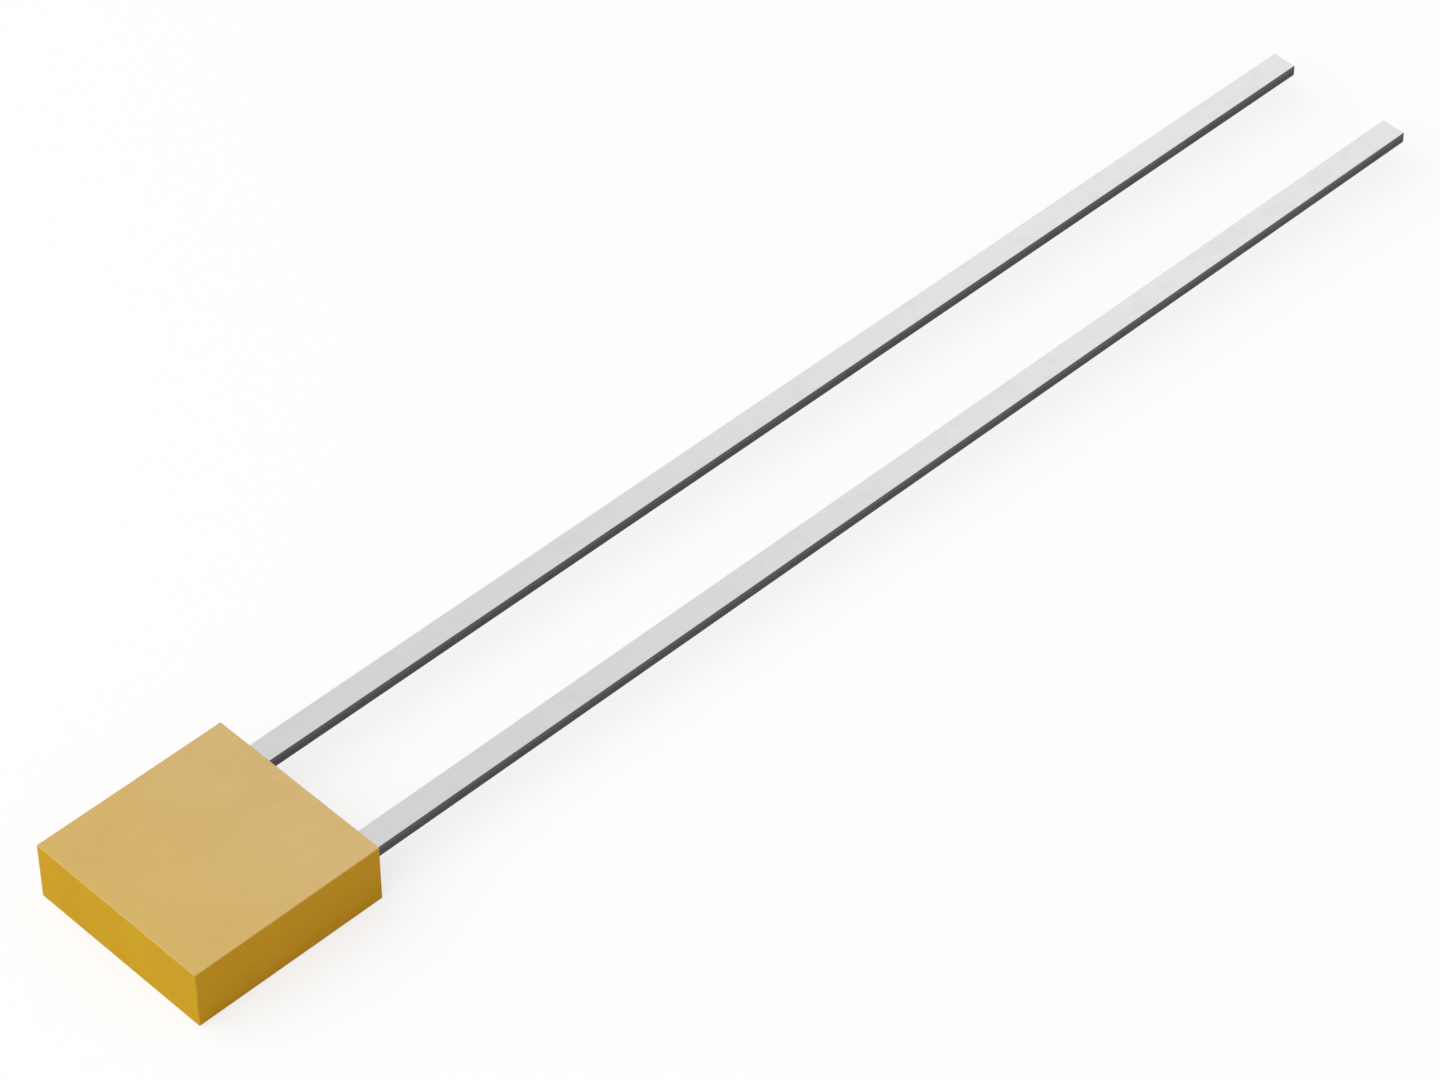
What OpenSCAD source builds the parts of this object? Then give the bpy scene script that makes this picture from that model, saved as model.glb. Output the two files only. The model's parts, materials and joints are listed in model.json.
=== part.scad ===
// Radial multilayer ceramic capacitor: a ceramic chip of interleaved electrodes, soldered edge-on between
// two flat leads and moulded into a square epoxy body. Millimetres.
// The leads run along +Y and the broad faces of the body look along +Z and -Z. The origin lies midway
// between the leads, on the face by which they leave the body.

/* [Leads] */
// Distance between the centres of the two leads
lead_pitch = 2.54; // [2:0.01:6]
// Width of a flat lead
lead_w = 0.47; // [0.3:0.01:0.8]
// Thickness of a flat lead
lead_t = 0.22; // [0.1:0.01:0.35]
// Free length of a lead, from the body to its cut end
lead_l = 24.3; // [3:0.1:40]
// Length that a lead runs on past the chip, inside the body
lead_tail = 0.15; // [0.05:0.05:1]
// Radius rolled on to the long edges of a lead
lead_r = 0.01; // [0.005:0.005:0.05]

/* [Ceramic chip] */
// Width of the ceramic block, along the leads
chip_w = 1.25; // [0.8:0.05:3]
// Radius tumbled on to the edges of the ceramic block
chip_r = 0.05; // [0.02:0.01:0.1]
// Number of electrode plates, alternately left and right
plate_count = 12; // [6:2:24]
// Thickness of one electrode plate
plate_t = 0.01; // [0.005:0.001:0.02]
// Thickness of the ceramic between two plates
dielectric_t = 0.03; // [0.015:0.005:0.08]
// Thickness of the plain ceramic over the outermost plates
cover_t = 0.075; // [0.05:0.005:0.2]
// Plain ceramic between the end of a plate and the opposite termination
end_margin = 0.25; // [0.1:0.01:0.5]
// Plain ceramic beside the plates
side_margin = 0.15; // [0.05:0.01:0.3]

/* [Terminations and solder] */
// Thickness of the metal fired on to an end of the chip
term_t = 0.025; // [0.01:0.005:0.06]
// Length of the band that a termination wraps along the chip
term_band = 0.4; // [0.2:0.05:0.6]
// Solder between a termination and the edge of its lead
solder_gap = 0.035; // [0.02:0.005:0.1]
// Leg of the solder fillet on each side of a lead
solder_leg = 0.14; // [0.05:0.01:0.3]
// Angle at which the solder meets the metal, in degrees
wetting_angle = 20; // [5:1:40]

/* [Epoxy body] */
// Epoxy outside each lead
side_wall = 0.345; // [0.15:0.005:1.5]
// Epoxy over and under the chip
broad_wall = 0.25; // [0.15:0.05:1]
// Epoxy between the chip and the face that the leads leave by
seat_wall = 1.2; // [0.3:0.05:3]
// Epoxy between the chip and the far end of the body
crown_wall = 1.2; // [0.3:0.05:3]
// Radius moulded on to the edges of the body
edge_r = 0.02; // [0.01:0.01:0.12]

/* [Hidden] */
$fn = 48;
LEFT = -1;
RIGHT = 1;
// Overshoot that carries a cutting shape clear of what it cuts
clear = 1;

// The chip fills the space between the inner edges of the leads
chip_end = lead_pitch / 2 - lead_w / 2 - solder_gap;
block_l = 2 * (chip_end - term_t);
block_t = plate_count * plate_t + (plate_count - 1) * dielectric_t + 2 * cover_t;
chip_size = [2 * chip_end, chip_w + 2 * term_t, block_t + 2 * term_t];
chip_y = -seat_wall - chip_size.y / 2;

// The body covers the leads and the chip by its walls
body_size = [
    lead_pitch + lead_w + 2 * side_wall,
    seat_wall + chip_size.y + crown_wall,
    chip_size.z + 2 * broad_wall
];

// The inner end of a lead, past the chip
lead_start = chip_y - chip_size.y / 2 - lead_tail;

// Solder stays on the flat of the termination's end face
solder_l = chip_w - 2 * chip_r;
fillet_leg = min(solder_leg, block_t / 2 - chip_r - lead_t / 2);

plates_per_side = plate_count / 2;

// Rectangle centred on the origin, with true arcs at its corners
module rounded_rectangle(w, h, r) {
    square([w - 2 * r, h], center = true);
    square([w, h - 2 * r], center = true);
    for (x = [-1, 1], y = [-1, 1])
        translate([x * (w / 2 - r), y * (h / 2 - r)]) circle(r);
}

// Box centred on the origin, with every edge rounded: what three rounded prisms have in common
module rounded_box(size, r) {
    intersection() {
        linear_extrude(size.z + clear, center = true) rounded_rectangle(size.x, size.y, r);
        rotate([90, 0, 0])
            linear_extrude(size.y + clear, center = true) rounded_rectangle(size.x, size.z, r);
        rotate([90, 0, 90])
            linear_extrude(size.x + clear, center = true) rounded_rectangle(size.y, size.z, r);
    }
}

// Outline of the fired block, before the slots of its plates
module block_form() {
    translate([0, chip_y, 0]) rounded_box([block_l, chip_w, block_t], chip_r);
}

// Outline of the chip with metal all round, of which the terminations are the two ends
module metalled_form() {
    translate([0, chip_y, 0]) rounded_box(chip_size, chip_r + term_t);
}

// Electrode plate i of one side: plates alternate left and right from the bottom of the stack
module electrode(side, i) {
    layer = 2 * i - (side == LEFT ? 1 : 0);
    bottom = -block_t / 2 + cover_t + (layer - 1) * (plate_t + dielectric_t);
    plate_l = block_l - end_margin;
    color([0.66, 0.64, 0.6])
        translate([side * end_margin / 2, chip_y, bottom + plate_t / 2])
            cube([plate_l, chip_w - 2 * side_margin, plate_t], center = true);
}

module ceramic_block() {
    color([0.62, 0.5, 0.38])
        difference() {
            block_form();
            for (side = [LEFT, RIGHT], i = [1:plates_per_side]) electrode(side, i);
        }
}

// Outline of one metalled end of the chip, from its band to its end face
module end_form(side) {
    reach = term_t + term_band;
    intersection() {
        metalled_form();
        translate([side * (chip_end - reach / 2 + clear / 2), chip_y, 0])
            cube([reach + clear, chip_size.y + clear, chip_size.z + clear], center = true);
    }
}

// Metal cap over one end of the block, with a band on its four sides
module termination(side) {
    color([0.78, 0.77, 0.75])
        difference() {
            end_form(side);
            block_form();
        }
}

// Flat strip from inside the body to its cut end
module lead(side) {
    color([0.82, 0.82, 0.83])
        translate([side * lead_pitch / 2, lead_start, 0])
            rotate([-90, 0, 0])
                linear_extrude(lead_l - lead_start) rounded_rectangle(lead_w, lead_t, lead_r);
}

// Section of one concave fillet in the corner at the origin, with legs along +X and +Y
module fillet_section(leg) {
    half_arc = 45 - wetting_angle;
    radius = leg * sqrt(2) / 2 / sin(half_arc);
    centre = leg / 2 + radius * cos(half_arc) * sqrt(2) / 2;
    difference() {
        polygon([[0, 0], [leg, 0], [0, leg]]);
        translate([centre, centre]) circle(radius);
    }
}

// Outline of one solder joint, rooted in the termination and in the edge of the lead
module solder_form(side) {
    rise = lead_t / 2 + fillet_leg;
    translate([side * chip_end, chip_y, 0])
        rotate([90, 0, 0])
            linear_extrude(solder_l, center = true)
                mirror([side == LEFT ? 1 : 0, 0]) {
                    translate([-term_t, -rise]) square([term_t, 2 * rise]);
                    translate([0, -lead_t / 2]) square([solder_gap + lead_r, lead_t]);
                    translate([0, lead_t / 2]) fillet_section(fillet_leg);
                    translate([0, -lead_t / 2]) mirror([0, 1]) fillet_section(fillet_leg);
                }
}

// Solder that fills the gap beside a lead and climbs from its two flats to the termination
module solder(side) {
    color([0.7, 0.71, 0.72])
        difference() {
            solder_form(side);
            end_form(side);
            lead(side);
        }
}

// Moulding with the exact form of the chip, solder and leads inside it
module epoxy_body() {
    color([0.81, 0.63, 0.2])
        difference() {
            translate([0, -body_size.y / 2, 0]) rounded_box(body_size, edge_r);
            block_form();
            for (side = [LEFT, RIGHT]) {
                end_form(side);
                solder_form(side);
                lead(side);
            }
        }
}

epoxy_body();
lead(LEFT);  // left_lead
lead(RIGHT);  // right_lead
solder(LEFT);  // left_solder
solder(RIGHT);  // right_solder
termination(LEFT);  // left_termination
termination(RIGHT);  // right_termination
ceramic_block();
for (i = [1:plates_per_side]) {
    electrode(LEFT, i);
    electrode(RIGHT, i);
}
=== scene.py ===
import json
import math

import bpy
import numpy as np
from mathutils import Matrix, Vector


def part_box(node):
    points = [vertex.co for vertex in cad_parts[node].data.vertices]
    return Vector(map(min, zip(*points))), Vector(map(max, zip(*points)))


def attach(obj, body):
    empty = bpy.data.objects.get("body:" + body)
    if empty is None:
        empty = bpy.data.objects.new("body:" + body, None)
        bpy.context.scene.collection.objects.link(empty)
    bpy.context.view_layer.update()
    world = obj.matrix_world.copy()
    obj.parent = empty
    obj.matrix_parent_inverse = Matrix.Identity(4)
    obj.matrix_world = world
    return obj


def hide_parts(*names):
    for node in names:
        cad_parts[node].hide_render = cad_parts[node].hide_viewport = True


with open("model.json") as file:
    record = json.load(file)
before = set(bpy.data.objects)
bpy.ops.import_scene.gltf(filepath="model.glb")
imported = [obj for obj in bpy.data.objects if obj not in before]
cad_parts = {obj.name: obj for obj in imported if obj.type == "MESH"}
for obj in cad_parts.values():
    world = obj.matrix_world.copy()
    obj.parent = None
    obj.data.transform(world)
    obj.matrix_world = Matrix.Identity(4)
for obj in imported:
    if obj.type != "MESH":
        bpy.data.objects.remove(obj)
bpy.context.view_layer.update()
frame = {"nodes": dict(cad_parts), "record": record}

# Looks of a radial multilayer ceramic capacitor: a golden moulded block with two flat tinned leads.
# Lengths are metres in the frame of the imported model: +Y runs along the leads, +Z up out of a broad face.
# The crown is the narrow face at the far end from the leads.
MM = 1e-3
MICRON = 1e-6
QUARTER_TURN = math.pi / 2

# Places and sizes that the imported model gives
body_low, body_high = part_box("epoxy_body")
body_middle = (body_low + body_high) / 2
body_half = (body_high - body_low) / 2
lead_low, lead_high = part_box("right_lead")
lead_half = (lead_high - lead_low) / 2
lead_offset = (lead_low.x + lead_high.x) / 2
lead_inner_end, lead_tip = lead_low.y, lead_high.y
lead_root = body_high.y
floor_level = body_low.z

# Floor: pale, and nearly as white as the surround where it is seen, so that only a faint shadow is left
FLOOR_SIZE = 1.0
FLOOR_COLOUR = (0.97, 0.97, 0.97, 1.0)
FLOOR_GLOW = 0.7

# Light: a surround that looks white and lights the object less, and one large soft lamp above the crown
SURROUND_COLOUR = (1.0, 1.0, 1.0, 1.0)
SEEN_STRENGTH = 1.0
LIGHT_STRENGTH = 0.5
LAMP_DIRECTION = Vector((-0.3, -0.56, 0.77))
LAMP_DISTANCE = 0.25
LAMP_SIZE = 0.54
LAMP_POWER = 0.9

# Camera, as fitted to the corners of the body and the ends of the leads
AZIMUTH = math.radians(45.593)
ELEVATION = math.radians(44.654)
DISTANCE = 91.837 * MM
LENS = 141.71
SENSOR = 36.0
AIM = Vector((0.301, 8.769, 0.0)) * MM
NEAREST_SEEN = 1.0 * MM
FARTHEST_SEEN = 2 * FLOOR_SIZE

# Sockets of a Mix node by number, because those for colours share their names with others
MIX_FACTOR, MIX_FIRST, MIX_SECOND, MIX_COLOUR = 0, 6, 7, 2

# Noise: its mean, octaves of plain to cloudy noise, weights of the finer ones, and a wide band about the mean
NOISE_MEAN = 0.5
PLAIN = 1.0
USUAL = 2.0
CLOUDY = 3.0
EVEN = 0.5
RAGGED = 0.6
WIDE_BAND = (0.3, 0.7)

# Moulding compound: colours
# The narrow faces' ambers are lit and shaded copies: the crown end's is a yellower painted lit tone, the
# others' a redder painted shaded tone
AMBER_PAINTED_SHADED = (0.565, 0.29, 0.0133, 1.0)
CROWN_AMBER_PAINTED_LIT = (0.537, 0.32, 0.012, 1.0)
AMBER_SHADE = (0.5, 0.27, 0.009, 1.0)
# The broad faces' golds are paler than the ambers by a painted sheen, and paler again towards the leads
GOLD_PAINTED_SHEEN_AT_CROWN = (0.628, 0.42, 0.103, 1.0)
GOLD_PAINTED_SHEEN_AT_LEADS = (0.636, 0.43, 0.155, 1.0)
GOLD_CLOUD_PAINTED_SHEEN = (0.6, 0.395, 0.108, 1.0)
FILLER_PALE = (0.76, 0.56, 0.17, 1.0)
FILLER_DARK = (0.32, 0.17, 0.012, 1.0)
RUBBED = (0.66, 0.43, 0.1, 1.0)

# Moulding compound: widths and heights of its clouds, waves, rubbing and grain
CLOUD_SIZE = 0.9 * MM
WAVE_SIZE = 0.25 * MM
RUB_SIZE = 0.12 * MM
GRAIN_SIZE = 0.02 * MM
WAVE_HEIGHT = 1.5 * MICRON
GRAIN_HEIGHT = 0.4 * MICRON
SPECK_HEIGHT = 0.3 * MICRON

# Moulding compound: spacing of the filler specks, with the largest radius and the soft rim in shares of it
PALE_SPACING = 0.03 * MM
PALE_LARGEST = 0.5
DARK_SPACING = 0.042 * MM
DARK_LARGEST = 0.45
COARSE_SPACING = 0.16 * MM
COARSE_LARGEST = 0.2
SPECK_RIM = 0.15

# Moulding compound: depths below a face, or off an edge, between which a finish sets in
EDGE_RADIUS = 0.02 * MM
BROAD_FADE = (0.75 * EDGE_RADIUS, 0.05 * EDGE_RADIUS)
CROWN_FADE = (EDGE_RADIUS, 0.0)
RUB_FADE = (1.5 * EDGE_RADIUS, 0.2 * EDGE_RADIUS)

# Moulding compound: strength of each tint, and the polish of its faces
CLOUD_TINT = 0.5
PALE_TINT = 0.1
DARK_TINT = 0.1
RUB_TINT = 0.2
NARROW_ROUGHNESS = 0.52
BROAD_SMOOTHING = 0.16
GRAIN_ROUGHNESS = 0.12
BODY_SPECULAR = 0.02
POLISH = 0.9
POLISH_CLOUDING = 0.2
POLISH_ROUGHNESS = 0.22
POLISH_IOR = 1.55

# Leads: colours
# The tin's base colour brightens from the body towards the tips as a painted reflection, brightest at
# BRIGHTEST_AT
TIN_PAINTED_DIM_AT_BODY = (0.65, 0.65, 0.66, 1.0)
TIN_PAINTED_BRIGHT_AT_TIP = (0.775, 0.775, 0.785, 1.0)
TIN_STREAK = (0.55, 0.55, 0.565, 1.0)
# The slit edges and cut ends are painted dark as a painted dark reflection, a little lighter where burnished
SLIT_EDGE_PAINTED_DARK = (0.066, 0.066, 0.073, 1.0)
BURNISHED_SLIT_EDGE_PAINTED_DARK = (0.09, 0.09, 0.098, 1.0)
BRIGHTEST_AT = 0.8 * lead_tip

# Leads: radii of the long edges and the sheared ends, and points on each curve and along the length
LEAD_CORNER = 0.01 * MM
TIP_ROLL = 0.03 * MM
TIP_SIDE = 0.012 * MM
TIP_BURR = 0.006 * MM
CORNER_STEPS = 6
END_STEPS = 6
LENGTH_STEPS = 60

# Leads: a map of the strip laid flat, and the shares of it for an end and for an end's soft edge
EXPORT_MAP = "OFBake"
MAP_END = 0.06
MAP_SOFT_EDGE = 0.03

# Leads: widths, stretch and heights of drawing lines, blooms, frosting and shear marks
LINE_WIDTH = 0.03 * MM
LINE_STRETCH = 0.012
BLOOM_SIZE = 0.35 * MM
FROST_SIZE = 0.02 * MM
SHEAR_STRETCH = 0.08
LINE_HEIGHT = 0.6 * MICRON
FROST_HEIGHT = 0.25 * MICRON
SHEAR_HEIGHT = 1.2 * MICRON

# Leads: depths off an edge, heights and bands of noise between which each mark sets in
SLIT_FADE = (0.6 * LEAD_CORNER, 0.1 * LEAD_CORNER)
CUT_FADE = (0.4 * TIP_BURR, 0.1 * TIP_BURR)
CORNER_FADE = (1.4 * TIP_SIDE, 1.1 * TIP_SIDE)
BURNISH_FADE = (0.1 * lead_half.z, 0.3 * lead_half.z)
BURNISH_UNEVENNESS = 0.2 * lead_half.z
LINE_BAND = (0.55, 0.8)
BLOOM_BAND = (0.45, 0.75)

# Leads: strength of each tint, and roughness
LINE_TINT = 0.35
BLOOM_TINT = 0.12
BURNISH_TINT = 0.7
SHEAR_TINT = 0.5
SHEAR_DARKEST = 0.3
TIN_ROUGHNESS = 0.3
SHEARED_ROUGHNESS = 0.2
BURNISH_SMOOTHING = 0.6
LINE_ROUGHNESS = 0.1
BLOOM_ROUGHNESS = 0.08

# Solder: bright and dull tones, width of its frosting, roughness and relief
SOLDER_BRIGHT = (0.56, 0.57, 0.59, 1.0)
SOLDER_DULL = (0.5, 0.51, 0.53, 1.0)
SOLDER_CLOUD_SIZE = 0.09 * MM
SOLDER_ROUGHNESS = 0.3
SOLDER_HEIGHT = 0.6 * MICRON

# Fired silver: bright and dull tones, width of its grain, roughness and relief
SILVER_BRIGHT = (0.58, 0.57, 0.545, 1.0)
SILVER_DULL = (0.5, 0.49, 0.47, 1.0)
SILVER_CLOUD_SIZE = 0.016 * MM
SILVER_ROUGHNESS = 0.4
SILVER_HEIGHT = 0.8 * MICRON

# Electrode metal: bright and dull tones, width of its clouds, roughness and relief
ELECTRODE_BRIGHT = (0.47, 0.45, 0.42, 1.0)
ELECTRODE_DULL = (0.36, 0.34, 0.31, 1.0)
ELECTRODE_CLOUD_SIZE = 0.05 * MM
ELECTRODE_ROUGHNESS = 0.45
ELECTRODE_HEIGHT = 0.6 * MICRON

# These three metals: how much finer their grain is than their clouds, and what each gives the surface
METAL_FINENESS = 6
METAL_BAND = (0.35, 0.65)
METAL_CLOUD_ROUGHNESS = 0.16
METAL_GRAIN_ROUGHNESS = 0.08
METAL_GRAIN_SHARE = 0.4

# Dielectric: colours
DIELECTRIC = (0.35, 0.225, 0.13, 1.0)
DIELECTRIC_SHADE = (0.3, 0.185, 0.1, 1.0)
DIELECTRIC_GRAIN = (0.2, 0.12, 0.065, 1.0)
DIELECTRIC_LAYER = (0.4, 0.27, 0.16, 1.0)
DIELECTRIC_PORE = (0.1, 0.06, 0.035, 1.0)

# Dielectric: widths, stretch and heights of clouds, grains, layers and pores
FIRED_CLOUD_SIZE = 0.2 * MM
FIRED_GRAIN_SIZE = 0.012 * MM
LAYER_SIZE = 0.03 * MM
LAYER_STRETCH = 0.05
PORE_SIZE = 0.022 * MM
FIRED_GRAIN_HEIGHT = 0.6 * MICRON
PORE_DEPTH = 1.2 * MICRON

# Dielectric: bands over which each mark sets in, strength of each tint, and roughness
FIRED_GRAIN_BAND = (0.2, 0.6)
LAYER_BAND = (0.5, 0.7)
PORE_BAND = (0.7, 0.76)
FIRED_GRAIN_TINT = 0.18
LAYER_TINT = 0.15
PORE_TINT = 0.35
FIRED_ROUGHNESS = 0.42
FIRED_GRAIN_ROUGHNESS = 0.2


class Shade:
    """A socket in a node tree. Arithmetic on it adds Math nodes, and node() adds a node of any other type."""

    def __init__(self, tree, socket=None):
        self.tree = tree
        self.socket = socket

    def node(self, kind, settings, sockets, output=0):
        """Adds a node: its settings are set first, then each socket gets a value or a link."""
        made = self.tree.nodes.new(kind)
        for name, value in settings.items():
            setattr(made, name, value)
        for name, value in sockets.items():
            if isinstance(value, Shade):
                self.tree.links.new(value.socket, made.inputs[name])
            else:
                made.inputs[name].default_value = value
        return Shade(self.tree, made.outputs[output] if made.outputs else None)

    def beside(self, output):
        """Another output of the node that this socket is on."""
        return Shade(self.tree, self.socket.node.outputs[output])

    def math(self, operation, first, second=0.0):
        """A Math node on one or two values."""
        return self.node("ShaderNodeMath", {"operation": operation}, {0: first, 1: second})

    def __add__(self, other):
        return self.math("ADD", self, other)

    def __sub__(self, other):
        return self.math("SUBTRACT", self, other)

    def __mul__(self, other):
        return self.math("MULTIPLY", self, other)

    def __radd__(self, other):
        return self.math("ADD", other, self)

    def __rsub__(self, other):
        return self.math("SUBTRACT", other, self)

    def __rmul__(self, other):
        return self.math("MULTIPLY", other, self)

    def __abs__(self):
        return self.math("ABSOLUTE", self)

    def least(self, other):
        """The smaller of two values."""
        return self.math("MINIMUM", self, other)

    def most(self, other):
        """The larger of two values."""
        return self.math("MAXIMUM", self, other)

    def step(self, low, high):
        """0 below low, 1 above high and a smooth rise between them, or a fall where low is above high."""
        sockets = {"Value": self, "From Min": low, "From Max": high}
        return self.node("ShaderNodeMapRange", {"interpolation_type": "SMOOTHSTEP"}, sockets, "Result")

    def swing(self):
        """How far a noise lies above or below its mean."""
        return self - NOISE_MEAN

    def parts(self):
        """The X, Y and Z of a vector."""
        x = self.node("ShaderNodeSeparateXYZ", {}, {"Vector": self}, "X")
        return x, x.beside("Y"), x.beside("Z")

    def stretched(self, x, y, z):
        """A vector with each axis multiplied by its own number."""
        return self.node("ShaderNodeVectorMath", {"operation": "MULTIPLY"}, {0: self, 1: (x, y, z)})

    def noise(self, width, octaves=USUAL, finer=EVEN):
        """Cloudy noise from 0 to 1, read at this vector, with features of about the given width."""
        sockets = {"Vector": self, "Scale": 1 / width, "Detail": octaves, "Roughness": finer}
        return self.node("ShaderNodeTexNoise", {}, sockets, "Fac")

    def cells(self, spacing):
        """Distance from the nearest of many scattered points, in shares of their spacing, and a random
        number for each point."""
        near = self.node("ShaderNodeTexVoronoi", {}, {"Vector": self, "Scale": 1 / spacing}, "Distance")
        return near, near.beside("Color").parts()[0]

    def specks(self, spacing, largest):
        """1 inside round specks of many sizes, the widest with a radius of largest, in shares of spacing."""
        near, lot = self.cells(spacing)
        return (lot * largest - near).step(0.0, SPECK_RIM)

    def mixed(self, first, second):
        """The first colour where this value is 0, the second where it is 1."""
        settings = {"data_type": "RGBA", "clamp_factor": True}
        sockets = {MIX_FACTOR: self, MIX_FIRST: first, MIX_SECOND: second}
        return self.node("ShaderNodeMix", settings, sockets, MIX_COLOUR)

    def relief(self):
        """A normal for a surface that stands up by this height, in metres."""
        return self.node("ShaderNodeBump", {}, {"Height": self, "Distance": 1.0, "Strength": 1.0}, "Normal")


def empty_tree(owner):
    """The node tree of a material or a world, without the nodes that it starts with."""
    owner.use_nodes = True
    owner.node_tree.nodes.clear()
    return owner.node_tree


def material(name):
    """A new material, and the place on its piece as a vector in metres."""
    made = bpy.data.materials.new(name)
    return made, Shade(empty_tree(made)).node("ShaderNodeTexCoord", {}, {}, "Object")


def finished(made, place, sockets):
    """Joins one Principled shader, with these sockets, to the material's output."""
    shader = place.node("ShaderNodeBsdfPrincipled", {}, sockets, "BSDF")
    place.node("ShaderNodeOutputMaterial", {}, {"Surface": shader})
    return made


def moulded_epoxy():
    """Golden moulding compound: pale and polished on the broad faces, where the paleness is a painted sheen
    that grows towards the leads, and deeper and duller on the narrow ones, painted yellower at the lit crown
    end and redder on the shaded others.

    Pale and dark filler specks and slow clouding vary the colour, and the edges are rubbed a little paler.
    """
    made, place = material("golden_moulding_compound")
    x, y, z = place.parts()
    from_side = body_half.x - abs(x - body_middle.x)
    from_end = body_half.y - abs(y - body_middle.y)
    from_broad = body_half.z - abs(z - body_middle.z)
    broad = from_broad.step(*BROAD_FADE)
    crown = (y - body_low.y).step(*CROWN_FADE)
    # The second smallest of the three depths is the way to the nearest edge
    nearer = from_side.least(from_end)
    farther = from_side.most(from_end)
    from_edge = nearer.most(farther.least(from_broad))

    clouds = place.noise(CLOUD_SIZE, CLOUDY).step(*WIDE_BAND)
    grain = place.noise(GRAIN_SIZE, PLAIN)
    pale_specks = place.specks(PALE_SPACING, PALE_LARGEST)
    fine_specks = place.specks(DARK_SPACING, DARK_LARGEST)
    dark_specks = fine_specks.most(place.specks(COARSE_SPACING, COARSE_LARGEST))
    rubbing = from_edge.step(*RUB_FADE) * place.noise(RUB_SIZE).step(*WIDE_BAND)

    # Painted light and shade: the crown end is tinted yellower as lit, the other narrow faces redder as
    # shaded
    narrow_faces = crown.mixed(AMBER_PAINTED_SHADED, CROWN_AMBER_PAINTED_LIT)
    # Painted sheen: the broad faces are paler than the narrow ones, more so towards the leads
    broad_faces_painted_sheen = y.step(body_low.y, body_high.y).mixed(GOLD_PAINTED_SHEEN_AT_CROWN, GOLD_PAINTED_SHEEN_AT_LEADS)
    colour = broad.mixed(narrow_faces, broad_faces_painted_sheen)
    colour = (CLOUD_TINT * (1 - clouds)).mixed(colour, broad.mixed(AMBER_SHADE, GOLD_CLOUD_PAINTED_SHEEN))
    colour = (PALE_TINT * pale_specks).mixed(colour, FILLER_PALE)
    colour = (DARK_TINT * dark_specks).mixed(colour, FILLER_DARK)
    colour = (RUB_TINT * rubbing).mixed(colour, RUBBED)

    waves = place.noise(WAVE_SIZE) * WAVE_HEIGHT
    pores = grain * GRAIN_HEIGHT + (pale_specks - dark_specks) * SPECK_HEIGHT
    return finished(made, place, {
        "Base Color": colour,
        "Roughness": NARROW_ROUGHNESS - BROAD_SMOOTHING * broad + GRAIN_ROUGHNESS * grain.swing(),
        "Specular IOR Level": BODY_SPECULAR,
        "Coat Weight": broad * (POLISH + POLISH_CLOUDING * clouds.swing()),
        "Coat Roughness": POLISH_ROUGHNESS,
        "Coat IOR": POLISH_IOR,
        "Normal": (waves + pores).relief(),
    })


def tinned_strip():
    """Tin on a drawn strip: bright on the flats with fine lines along it, brightened towards the tips by a
    painted reflection, and painted dark on the slit edges and cut ends as a painted dark reflection.

    A slit edge and a cut end are burnished over their upper part, where the blade went in, and rougher below.
    """
    made, place = material("tinned_strip_metal")
    x, y, z = place.parts()
    from_slit = lead_half.x - abs(abs(x) - lead_offset)
    from_cut = (lead_tip - y).least(y - lead_inner_end)
    slit = from_slit.step(*SLIT_FADE)
    cut = from_cut.step(*CUT_FADE)
    corner = (from_slit + from_cut).step(*CORNER_FADE)
    # The sheared surfaces: slit edges, cut ends and their corners, painted dark and rougher
    sheared_painted_dark = slit.most(cut).most(corner)

    lines = place.stretched(1.0, LINE_STRETCH, 1.0).noise(LINE_WIDTH, CLOUDY, RAGGED)
    blooms = place.noise(BLOOM_SIZE, CLOUDY).step(*BLOOM_BAND)
    frost = place.noise(FROST_SIZE, PLAIN)
    shear = place.stretched(1.0, 1.0, SHEAR_STRETCH).noise(FROST_SIZE)
    burnish = (z + BURNISH_UNEVENNESS * shear.swing()).step(*BURNISH_FADE)

    # Painted reflection: the tin brightens from the body towards the tips
    tin = y.step(lead_root, BRIGHTEST_AT).mixed(TIN_PAINTED_DIM_AT_BODY, TIN_PAINTED_BRIGHT_AT_TIP)
    tin = (LINE_TINT * lines.step(*LINE_BAND)).mixed(tin, TIN_STREAK)
    tin = (BLOOM_TINT * blooms).mixed(tin, TIN_STREAK)
    brightness = BURNISH_TINT * burnish + SHEAR_TINT * (shear - SHEAR_DARKEST)
    # Painted dark reflection on the sheared surfaces, lighter over the burnished band
    painted_dark_edge = brightness.mixed(SLIT_EDGE_PAINTED_DARK, BURNISHED_SLIT_EDGE_PAINTED_DARK)
    sheared_roughness = SHEARED_ROUGHNESS * sheared_painted_dark * (1 - BURNISH_SMOOTHING * burnish)
    mark_roughness = LINE_ROUGHNESS * lines.swing() + BLOOM_ROUGHNESS * blooms
    height = lines * LINE_HEIGHT + frost * FROST_HEIGHT + sheared_painted_dark * shear * SHEAR_HEIGHT
    return finished(made, place, {
        "Base Color": sheared_painted_dark.mixed(tin, painted_dark_edge),
        "Metallic": 1.0,
        "Roughness": TIN_ROUGHNESS + sheared_roughness + mark_roughness,
        "Normal": height.relief(),
    })


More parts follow.
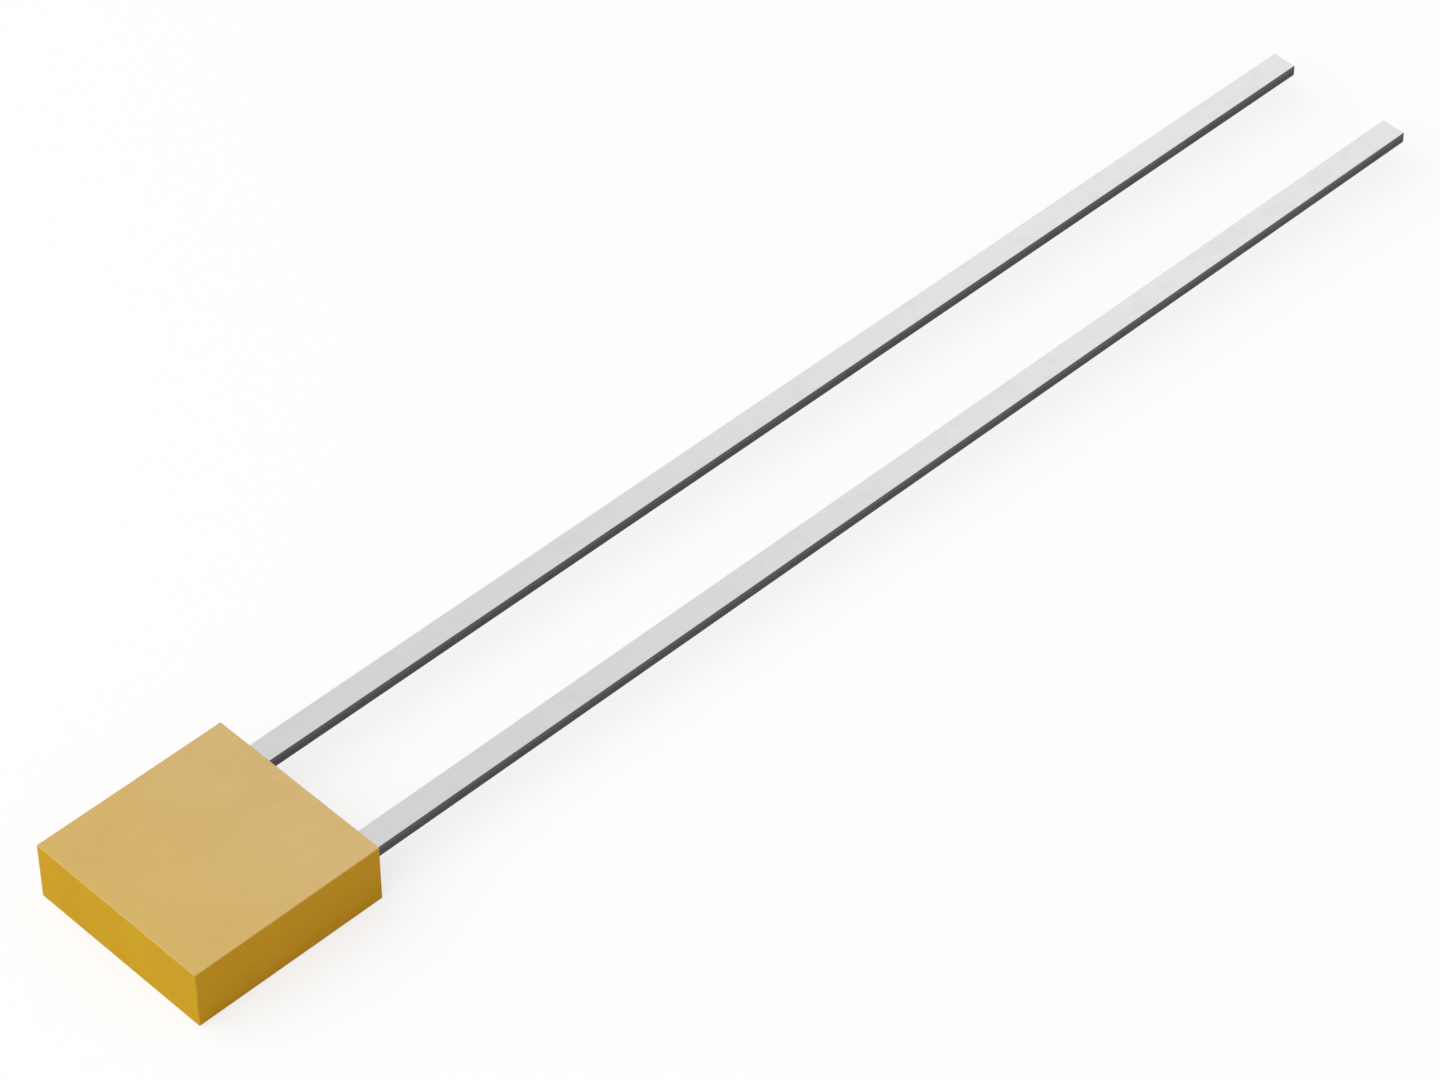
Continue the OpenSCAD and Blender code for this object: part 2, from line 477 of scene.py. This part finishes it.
def cloudy_metal(name, bright, dull, cloud_size, roughness, height):
    """Metal with two close tones in clouds of the given size, and a fine relief of the given height."""
    made, place = material(name)
    clouds = place.noise(cloud_size, CLOUDY, RAGGED)
    grain = place.noise(cloud_size / METAL_FINENESS, PLAIN)
    unevenness = METAL_CLOUD_ROUGHNESS * clouds.swing() + METAL_GRAIN_ROUGHNESS * grain.swing()
    return finished(made, place, {
        "Base Color": clouds.step(*METAL_BAND).mixed(dull, bright),
        "Metallic": 1.0,
        "Roughness": roughness + unevenness,
        "Normal": ((clouds + METAL_GRAIN_SHARE * grain) * height).relief(),
    })


def soft_solder():
    """Soft solder: bright, with slow frosting."""
    return cloudy_metal(
        "soft_solder", SOLDER_BRIGHT, SOLDER_DULL,
        SOLDER_CLOUD_SIZE, SOLDER_ROUGHNESS, SOLDER_HEIGHT)


def fired_silver():
    """Silver paste fired on to the ends of the chip: a fine satin grain."""
    return cloudy_metal(
        "fired_silver_paste", SILVER_BRIGHT, SILVER_DULL,
        SILVER_CLOUD_SIZE, SILVER_ROUGHNESS, SILVER_HEIGHT)


def electrode_film():
    """Printed electrode metal: dark and matt."""
    return cloudy_metal(
        "electrode_film", ELECTRODE_BRIGHT, ELECTRODE_DULL,
        ELECTRODE_CLOUD_SIZE, ELECTRODE_ROUGHNESS, ELECTRODE_HEIGHT)


def fired_ceramic():
    """Dense fired dielectric: warm brown, with fine grains, faint layers along the stack and a few pores."""
    made, place = material("fired_dielectric")
    clouds = place.noise(FIRED_CLOUD_SIZE, CLOUDY).step(*WIDE_BAND)
    grains = place.cells(FIRED_GRAIN_SIZE)[0].step(*FIRED_GRAIN_BAND)
    level = place.stretched(LAYER_STRETCH, LAYER_STRETCH, 1.0)
    layers = level.noise(LAYER_SIZE, PLAIN).step(*LAYER_BAND)
    pores = place.noise(PORE_SIZE, PLAIN).step(*PORE_BAND)
    colour = clouds.mixed(DIELECTRIC_SHADE, DIELECTRIC)
    colour = (FIRED_GRAIN_TINT * grains).mixed(colour, DIELECTRIC_GRAIN)
    colour = (LAYER_TINT * layers).mixed(colour, DIELECTRIC_LAYER)
    colour = (PORE_TINT * pores).mixed(colour, DIELECTRIC_PORE)
    return finished(made, place, {
        "Base Color": colour,
        "Roughness": FIRED_ROUGHNESS + FIRED_GRAIN_ROUGHNESS * grains.swing(),
        "Normal": (grains * FIRED_GRAIN_HEIGHT - pores * PORE_DEPTH).relief(),
    })


def placed(name, data):
    """A new object in the scene, at the origin, that shows this mesh, lamp or camera."""
    shown = bpy.data.objects.new(name, data)
    bpy.context.scene.collection.objects.link(shown)
    return shown


def shown_mesh(name, vertices, faces, facing=None, unrolled=None):
    """An object with these vertices and faces, and with normals and a flat map where given."""
    mesh = bpy.data.meshes.new(name)
    mesh.from_pydata(vertices.tolist(), [], faces)
    mesh.validate()
    if facing is not None:
        mesh.shade_smooth()
        mesh.normals_split_custom_set_from_vertices(facing.tolist())
    if unrolled is not None:
        layer = mesh.uv_layers.new(name=EXPORT_MAP)
        layer.uv.foreach_set("vector", unrolled.astype(np.float32).ravel())
    return placed(name, mesh)


def map_corners(across, along):
    """The places on a map of every corner of some faces, from a row of places for each face."""
    return np.stack(np.broadcast_arrays(across, along), axis=2).reshape(-1, 2)


def closed_tube(name, rings, facing, poles, along):
    """A skin of four-sided faces over rings of points, with a fan of triangles about a pole at each end.

    A face finds its corners by row and column, and the column after the last is the first again. The map
    is the skin unrolled: the share of the way round the middle ring lies across it, and the share along,
    which is 0 at the first pole and 1 at the last, lies up it.
    """
    rows, columns = rings.shape[:2]
    row, column = np.indices((rows - 1, columns)).reshape(2, -1, 1)
    row = row + np.array([0, 1, 1, 0])
    column = column + np.array([0, 0, 1, 1])
    quads = row * columns + column % columns
    pair = np.arange(columns)[:, None] + np.array([0, 1])
    back = pair[:, ::-1]
    first_pole = np.full((columns, 1), rows * columns)
    first_fan = np.hstack([first_pole, pair % columns])
    last_fan = np.hstack([first_pole + 1, (rows - 1) * columns + back % columns])

    middle_ring = rings[rows // 2]
    chords = np.linalg.norm(np.roll(middle_ring, -1, axis=0) - middle_ring, axis=1)
    across = np.concatenate([[0.0], np.cumsum(chords)]) / chords.sum()
    between = across[pair].mean(axis=1, keepdims=True)
    unrolled = np.concatenate([
        map_corners(across[column], along[row]),
        map_corners(np.hstack([between, across[pair]]), [0.0, along[0], along[0]]),
        map_corners(np.hstack([between, across[back]]), [1.0, along[-1], along[-1]]),
    ])

    axis = (poles[1] - poles[0]) / np.linalg.norm(poles[1] - poles[0])
    vertices = np.concatenate([rings.reshape(-1, 3), poles])
    facing = np.concatenate([facing.reshape(-1, 3), [-axis, axis]])
    faces = quads.tolist() + first_fan.tolist() + last_fan.tolist()
    return shown_mesh(name, vertices, faces, facing, unrolled)


def lead_strip(name, low, high):
    """A flat lead: a rounded rectangle carried along Y, with softened ends.

    The section is four corner centres plus the corner radius times the cosine and sine of an angle that
    grows by a quarter turn at each corner. Over an end a second angle t grows to a quarter turn. There the
    centres draw in by r (1 - cos t) and Y goes on by r sin t, where r is large on the upper edge, which a
    shear rolls over, and small on the sides and the lower edge. A point in the middle closes each end.
    """
    middle = (low + high) / 2
    half = (high - low) / 2
    corner = np.repeat(np.arange(4), CORNER_STEPS) * QUARTER_TURN
    angle = corner + np.tile(np.linspace(0, QUARTER_TURN, CORNER_STEPS), 4)
    normal_x, normal_z = np.cos(angle), np.sin(angle)
    diagonal = corner + QUARTER_TURN / 2
    sign_x, sign_z = np.sign(np.cos(diagonal)), np.sign(np.sin(diagonal))
    edge_radius = np.where(sign_z > 0, TIP_ROLL, TIP_BURR)
    end_radius = edge_radius * normal_z**2 + TIP_SIDE * normal_x**2

    turn = np.linspace(0, QUARTER_TURN, END_STEPS)
    t = np.concatenate([-turn[::-1], np.zeros(LENGTH_STEPS), turn])[:, None]
    share = np.linspace(0, 1, LENGTH_STEPS + 2)[1:-1]
    share = np.concatenate([np.zeros(END_STEPS), share, np.ones(END_STEPS)])[:, None]
    draw = 1 - np.cos(t)
    x = middle.x + sign_x * (half.x - LEAD_CORNER - TIP_SIDE * draw) + LEAD_CORNER * normal_x
    z = middle.z + sign_z * (half.z - LEAD_CORNER - edge_radius * draw) + LEAD_CORNER * normal_z
    start, stop = low.y + end_radius, high.y - end_radius
    y = start + share * (stop - start) + end_radius * np.sin(t)
    rings = np.stack([x, y, z], axis=2)
    facing = np.stack(np.broadcast_arrays(np.cos(t) * normal_x, np.sin(t), np.cos(t) * normal_z), axis=2)
    poles = np.array([[middle.x, low.y, middle.z], [middle.x, high.y, middle.z]])
    along = MAP_END + share * (1 - 2 * MAP_END) + MAP_SOFT_EDGE * t / QUARTER_TURN
    return closed_tube(name, rings, facing, poles, along.ravel())


def finish_node(name, finish):
    """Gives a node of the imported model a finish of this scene."""
    frame["nodes"][name].data.materials.clear()
    frame["nodes"][name].data.materials.append(finish)


def add_pieces():
    """Every node keeps its form and gets its finish; the leads are made again with softened ends."""
    finishes = {
        "moulded_epoxy": moulded_epoxy(),
        "tinned_strip": tinned_strip(),
        "solder": soft_solder(),
        "fired_silver": fired_silver(),
        "ceramic": fired_ceramic(),
        "electrode_metal": electrode_film(),
    }
    for part in frame["record"]["subparts"]:
        finish_node(part["node"], finishes[part["material_slot"]])
    for side in ("left", "right"):
        node = side + "_lead"
        strip = lead_strip(side + "_tinned_strip", *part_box(node))
        strip.data.materials.append(finishes["tinned_strip"])
        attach(strip, "root")
        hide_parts(node)


def shows_white(tree):
    """1 for rays from the camera, and for mirrored and transmitted ones, which see the white surround."""
    camera = Shade(tree).node("ShaderNodeLightPath", {}, {}, "Is Camera Ray")
    return camera.most(camera.beside("Is Glossy Ray")).most(camera.beside("Is Transmission Ray"))


def add_floor():
    """A pale level square under the body, which keeps a faint shadow."""
    half = FLOOR_SIZE / 2
    corners = np.array([[-half, -half], [half, -half], [half, half], [-half, half]])
    vertices = np.column_stack([corners, np.full(len(corners), floor_level)])
    floor = shown_mesh("floor", vertices, [[0, 1, 2, 3]])
    made = bpy.data.materials.new("pale_floor")
    seen = shows_white(empty_tree(made))
    matt = seen.node("ShaderNodeBsdfDiffuse", {}, {"Color": FLOOR_COLOUR})
    glow = seen.node("ShaderNodeEmission", {}, {"Color": SURROUND_COLOUR, "Strength": SEEN_STRENGTH})
    both = seen.node("ShaderNodeMixShader", {}, {0: seen * FLOOR_GLOW, 1: matt, 2: glow})
    seen.node("ShaderNodeOutputMaterial", {}, {"Surface": both})
    floor.data.materials.append(made)


def add_surround():
    """A plain surround, white to the eye and dim to the object."""
    world = bpy.data.worlds.new("studio")
    seen = shows_white(empty_tree(world))
    strength = LIGHT_STRENGTH + (SEEN_STRENGTH - LIGHT_STRENGTH) * seen
    sky = seen.node("ShaderNodeBackground", {}, {"Color": SURROUND_COLOUR, "Strength": strength})
    seen.node("ShaderNodeOutputWorld", {}, {"Surface": sky})
    bpy.context.scene.world = world


def stand_off(shown, aim, direction, distance):
    """Stands a lamp or a camera off from its aim in a direction, and turns it to face the aim."""
    shown.location = aim + direction.normalized() * distance
    shown.rotation_euler = direction.to_track_quat("Z", "Y").to_euler()


def add_lamp():
    """One large soft lamp. Mirrored rays already see the white surround, so it adds nothing to them."""
    light = bpy.data.lights.new("soft_lamp", "AREA")
    light.shape = "DISK"
    light.size = LAMP_SIZE
    light.energy = LAMP_POWER
    lamp = placed("soft_lamp", light)
    stand_off(lamp, body_middle, LAMP_DIRECTION, LAMP_DISTANCE)
    lamp.visible_camera = False
    lamp.visible_glossy = False


def add_camera():
    """The camera stands back from the aim along the direction that its azimuth and elevation give."""
    lens = bpy.data.cameras.new("camera")
    lens.sensor_width = SENSOR
    lens.lens = LENS
    lens.clip_start = NEAREST_SEEN
    lens.clip_end = FARTHEST_SEEN
    camera = placed("camera", lens)
    back = Vector((
        math.sin(AZIMUTH) * math.cos(ELEVATION),
        -math.cos(AZIMUTH) * math.cos(ELEVATION),
        math.sin(ELEVATION),
    ))
    stand_off(camera, AIM, back, DISTANCE)
    bpy.context.scene.camera = camera


add_pieces()
add_floor()
add_surround()
add_lamp()
add_camera()
bpy.context.scene.view_settings.view_transform = "Standard"
